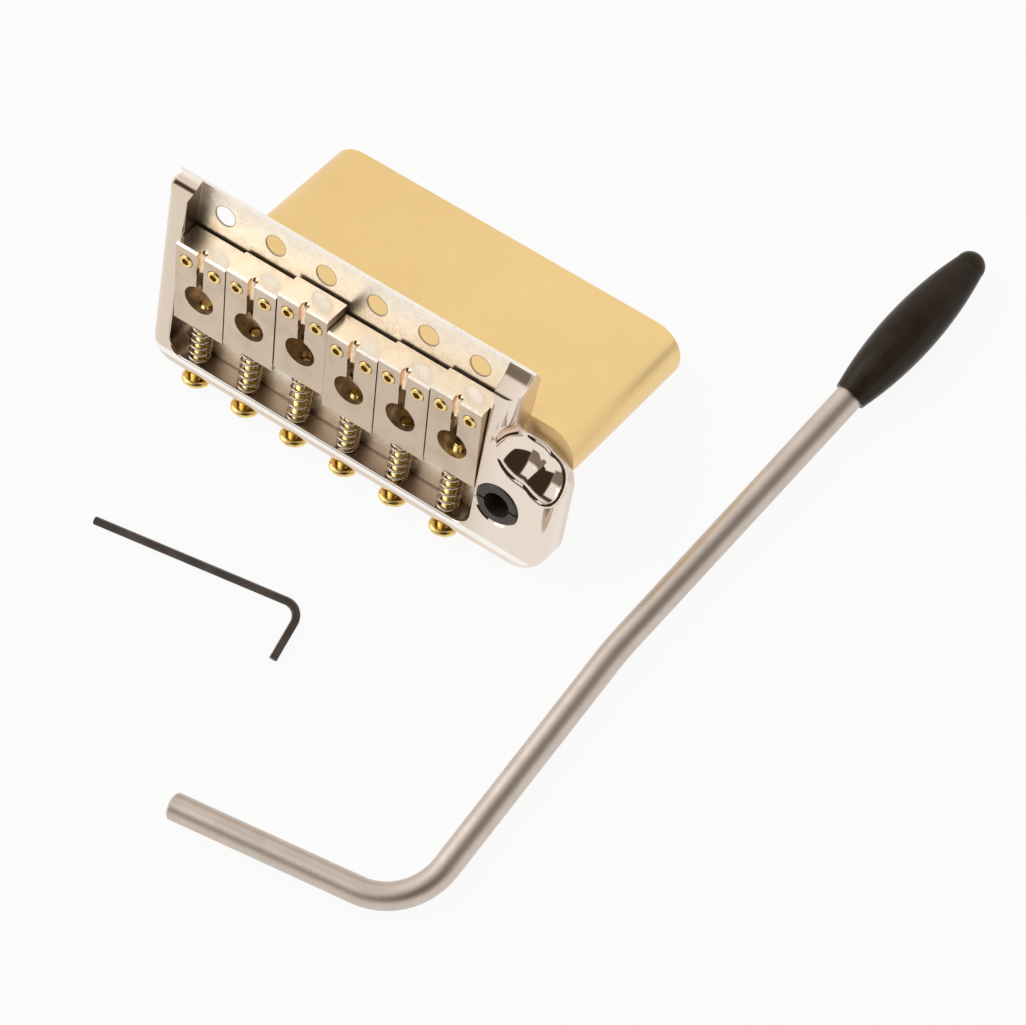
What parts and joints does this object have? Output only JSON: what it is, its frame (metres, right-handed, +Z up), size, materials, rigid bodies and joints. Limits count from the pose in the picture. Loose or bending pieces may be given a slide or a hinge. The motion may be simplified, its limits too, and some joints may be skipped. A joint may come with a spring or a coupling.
{
  "type": "guitar tremolo bridge",
  "caption": "Electric guitar tremolo bridge laid on its back: nickel plate, sprung string saddles, brass block, a bent arm taken off, and a hex key.",
  "frame": {"origin": "middle of the whole layout on the surface that the bridge, arm and key lie on", "axes": "+Z up from that surface; +X along the row of mounting holes from the bass to the treble side; +Y away from the bridge's face, towards the block"},
  "size_m": [0.1172, 0.1552, 0.0375],
  "materials": {
    "nickel_plate": "nickel plate, polished walls and a satin floor",
    "brass_block": "bare brass, finely brushed",
    "dark_screw": "blackened steel",
    "black_collar": "black, semi-matt",
    "saddle_steel": "nickel plate, satin",
    "brass_screw": "bright brass",
    "spring_steel": "bright steel wire",
    "arm_steel": "satin",
    "black_tip": "soft gloss",
    "black_key": "black oxide"
  },
  "bodies": {
    "bridge": {"base_plate": "nickel_plate", "tremolo_block": "brass_block", "block_screws": "dark_screw", "arm_bushing": "black_collar", "arm_tension_screw": "dark_screw"},
    "string_1_spring": {"intonation_spring_1": "spring_steel"},
    "string_1_screw": {"intonation_screw_1": "brass_screw"},
    "string_1_saddle": {"saddle_1": "saddle_steel"},
    "string_1_height": {"height_screws_1": "brass_screw"},
    "string_2_spring": {"intonation_spring_2": "spring_steel"},
    "string_2_screw": {"intonation_screw_2": "brass_screw"},
    "string_2_saddle": {"saddle_2": "saddle_steel"},
    "string_2_height": {"height_screws_2": "brass_screw"},
    "string_3_spring": {"intonation_spring_3": "spring_steel"},
    "string_3_screw": {"intonation_screw_3": "brass_screw"},
    "string_3_saddle": {"saddle_3": "saddle_steel"},
    "string_3_height": {"height_screws_3": "brass_screw"},
    "string_4_spring": {"intonation_spring_4": "spring_steel"},
    "string_4_screw": {"intonation_screw_4": "brass_screw"},
    "string_4_saddle": {"saddle_4": "saddle_steel"},
    "string_4_height": {"height_screws_4": "brass_screw"},
    "string_5_spring": {"intonation_spring_5": "spring_steel"},
    "string_5_screw": {"intonation_screw_5": "brass_screw"},
    "string_5_saddle": {"saddle_5": "saddle_steel"},
    "string_5_height": {"height_screws_5": "brass_screw"},
    "string_6_spring": {"intonation_spring_6": "spring_steel"},
    "string_6_screw": {"intonation_screw_6": "brass_screw"},
    "string_6_saddle": {"saddle_6": "saddle_steel"},
    "string_6_height": {"height_screws_6": "brass_screw"},
    "arm": {"arm_rod": "arm_steel", "arm_tip": "black_tip"},
    "key": {"hex_key": "black_key"}
  },
  "joints": [
    {"name": "saddle_1_tilt", "type": "hinge", "parent": "bridge", "child": "string_1_spring", "pos_m": [-0.04858, -0.00863, 0.00425], "axis": [1, 0, 0], "range_deg": [-0.8, 2.5]},
    {"name": "screw_1_turn", "type": "hinge", "parent": "string_1_spring", "child": "string_1_screw", "pos_m": [-0.04858, -0.00863, 0.00425], "axis": [0, 0.475, 0.88], "range_deg": [-1210, 1610]},
    {"name": "saddle_1_slide", "type": "slide", "parent": "string_1_spring", "child": "string_1_saddle", "axis": [0, 0.475, 0.88], "range_m": [-0.002, 0.0015], "deforming": ["intonation_spring_1"]},
    {"name": "height_screws_1_lift", "type": "slide", "parent": "string_1_saddle", "child": "string_1_height", "axis": [0, -0.9307, 0.3658], "range_m": [-0.00115, 0.0004]},
    {"name": "saddle_2_tilt", "type": "hinge", "parent": "bridge", "child": "string_2_spring", "pos_m": [-0.0381, -0.00863, 0.00425], "axis": [1, 0, 0], "range_deg": [-0.8, 2.5]},
    {"name": "screw_2_turn", "type": "hinge", "parent": "string_2_spring", "child": "string_2_screw", "pos_m": [-0.0381, -0.00863, 0.00425], "axis": [0, 0.475, 0.88], "range_deg": [-1210, 1610]},
    {"name": "saddle_2_slide", "type": "slide", "parent": "string_2_spring", "child": "string_2_saddle", "axis": [0, 0.475, 0.88], "range_m": [-0.002, 0.0015], "deforming": ["intonation_spring_2"]},
    {"name": "height_screws_2_lift", "type": "slide", "parent": "string_2_saddle", "child": "string_2_height", "axis": [0, -0.9307, 0.3658], "range_m": [-0.00115, 0.0004]},
    {"name": "saddle_3_tilt", "type": "hinge", "parent": "bridge", "child": "string_3_spring", "pos_m": [-0.02762, -0.00863, 0.00425], "axis": [1, 0, 0], "range_deg": [-0.8, 2.5]},
    {"name": "screw_3_turn", "type": "hinge", "parent": "string_3_spring", "child": "string_3_screw", "pos_m": [-0.02762, -0.00863, 0.00425], "axis": [0, 0.475, 0.88], "range_deg": [-1210, 1610]},
    {"name": "saddle_3_slide", "type": "slide", "parent": "string_3_spring", "child": "string_3_saddle", "axis": [0, 0.475, 0.88], "range_m": [-0.002, 0.0015], "deforming": ["intonation_spring_3"]},
    {"name": "height_screws_3_lift", "type": "slide", "parent": "string_3_saddle", "child": "string_3_height", "axis": [0, -0.9307, 0.3658], "range_m": [-0.00115, 0.0004]},
    {"name": "saddle_4_tilt", "type": "hinge", "parent": "bridge", "child": "string_4_spring", "pos_m": [-0.01714, -0.00863, 0.00425], "axis": [1, 0, 0], "range_deg": [-0.8, 2.5]},
    {"name": "screw_4_turn", "type": "hinge", "parent": "string_4_spring", "child": "string_4_screw", "pos_m": [-0.01714, -0.00863, 0.00425], "axis": [0, 0.475, 0.88], "range_deg": [-1210, 1610]},
    {"name": "saddle_4_slide", "type": "slide", "parent": "string_4_spring", "child": "string_4_saddle", "axis": [0, 0.475, 0.88], "range_m": [-0.002, 0.0015], "deforming": ["intonation_spring_4"]},
    {"name": "height_screws_4_lift", "type": "slide", "parent": "string_4_saddle", "child": "string_4_height", "axis": [0, -0.9307, 0.3658], "range_m": [-0.00115, 0.0004]},
    {"name": "saddle_5_tilt", "type": "hinge", "parent": "bridge", "child": "string_5_spring", "pos_m": [-0.00666, -0.00863, 0.00425], "axis": [1, 0, 0], "range_deg": [-0.8, 2.5]},
    {"name": "screw_5_turn", "type": "hinge", "parent": "string_5_spring", "child": "string_5_screw", "pos_m": [-0.00666, -0.00863, 0.00425], "axis": [0, 0.475, 0.88], "range_deg": [-1210, 1610]},
    {"name": "saddle_5_slide", "type": "slide", "parent": "string_5_spring", "child": "string_5_saddle", "axis": [0, 0.475, 0.88], "range_m": [-0.002, 0.0015], "deforming": ["intonation_spring_5"]},
    {"name": "height_screws_5_lift", "type": "slide", "parent": "string_5_saddle", "child": "string_5_height", "axis": [0, -0.9307, 0.3658], "range_m": [-0.00115, 0.0004]},
    {"name": "saddle_6_tilt", "type": "hinge", "parent": "bridge", "child": "string_6_spring", "pos_m": [0.00382, -0.00863, 0.00425], "axis": [1, 0, 0], "range_deg": [-0.8, 2.5]},
    {"name": "screw_6_turn", "type": "hinge", "parent": "string_6_spring", "child": "string_6_screw", "pos_m": [0.00382, -0.00863, 0.00425], "axis": [0, 0.475, 0.88], "range_deg": [-1210, 1610]},
    {"name": "saddle_6_slide", "type": "slide", "parent": "string_6_spring", "child": "string_6_saddle", "axis": [0, 0.475, 0.88], "range_m": [-0.002, 0.0015], "deforming": ["intonation_spring_6"]},
    {"name": "height_screws_6_lift", "type": "slide", "parent": "string_6_saddle", "child": "string_6_height", "axis": [0, -0.9307, 0.3658], "range_m": [-0.00115, 0.0004]},
    {"name": "arm_lift", "type": "slide", "parent": "bridge", "child": "arm", "axis": [0, 0, 1], "range_m": [0, 0.06]},
    {"name": "key_lift", "type": "slide", "parent": "bridge", "child": "key", "axis": [0, 0, 1], "range_m": [0, 0.04]}
  ],
  "couplings": [
    {"joint": "screw_1_turn", "follows": "saddle_1_slide", "rad_per_m": -13963},
    {"joint": "height_screws_1_lift", "follows": "saddle_1_tilt", "m_per_rad": -0.0253},
    {"joint": "screw_2_turn", "follows": "saddle_2_slide", "rad_per_m": -13963},
    {"joint": "height_screws_2_lift", "follows": "saddle_2_tilt", "m_per_rad": -0.0253},
    {"joint": "screw_3_turn", "follows": "saddle_3_slide", "rad_per_m": -13963},
    {"joint": "height_screws_3_lift", "follows": "saddle_3_tilt", "m_per_rad": -0.0253},
    {"joint": "screw_4_turn", "follows": "saddle_4_slide", "rad_per_m": -13963},
    {"joint": "height_screws_4_lift", "follows": "saddle_4_tilt", "m_per_rad": -0.0253},
    {"joint": "screw_5_turn", "follows": "saddle_5_slide", "rad_per_m": -13963},
    {"joint": "height_screws_5_lift", "follows": "saddle_5_tilt", "m_per_rad": -0.0253},
    {"joint": "screw_6_turn", "follows": "saddle_6_slide", "rad_per_m": -13963},
    {"joint": "height_screws_6_lift", "follows": "saddle_6_tilt", "m_per_rad": -0.0253}
  ]
}
